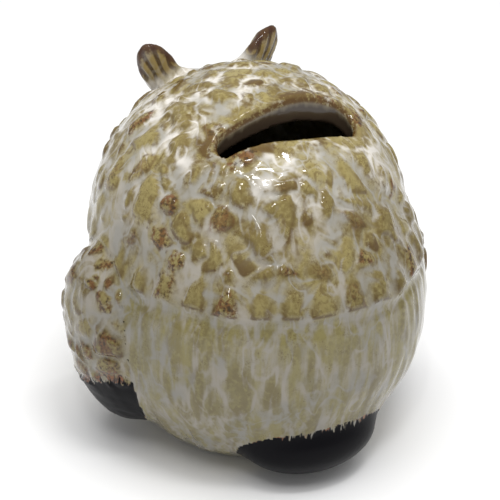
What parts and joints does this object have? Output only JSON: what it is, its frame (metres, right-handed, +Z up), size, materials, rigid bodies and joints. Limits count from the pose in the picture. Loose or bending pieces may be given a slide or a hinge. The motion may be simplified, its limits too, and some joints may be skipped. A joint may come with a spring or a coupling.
{
  "type": "owl coin bank",
  "caption": "Round glazed ceramic owl bank with ear tufts, wings and a broad tail, a coin slot in the back of the head and a pull-out rubber stopper in the base.",
  "frame": {"origin": "centre of the whole bank's footprint box, on the surface that it stands on", "axes": "+Z up, the owl faces -Y, its left side is +X"},
  "size_m": [0.1188, 0.113, 0.1139],
  "materials": {
    "reactive_glaze": "glossy, mottled off-white over olive tan",
    "dark_glaze": "smooth semi-matt black",
    "eye_glaze": "glossy dark brown",
    "stopper_rubber": "matt"
  },
  "bodies": {
    "bank": {"body_shell": "reactive_glaze", "left_wing": "reactive_glaze", "right_wing": "reactive_glaze", "tail": "dark_glaze", "left_ear_tuft": "reactive_glaze", "right_ear_tuft": "reactive_glaze", "beak": "dark_glaze", "left_foot": "dark_glaze", "right_foot": "dark_glaze", "left_eye_ring": "reactive_glaze", "right_eye_ring": "reactive_glaze", "left_eyeball": "eye_glaze", "right_eyeball": "eye_glaze"},
    "stopper": {"stopper": "stopper_rubber"}
  },
  "joints": [
    {"name": "stopper_pull", "type": "slide", "parent": "bank", "child": "stopper", "axis": [0, 0, -1], "range_m": [0, 0.016]}
  ]
}
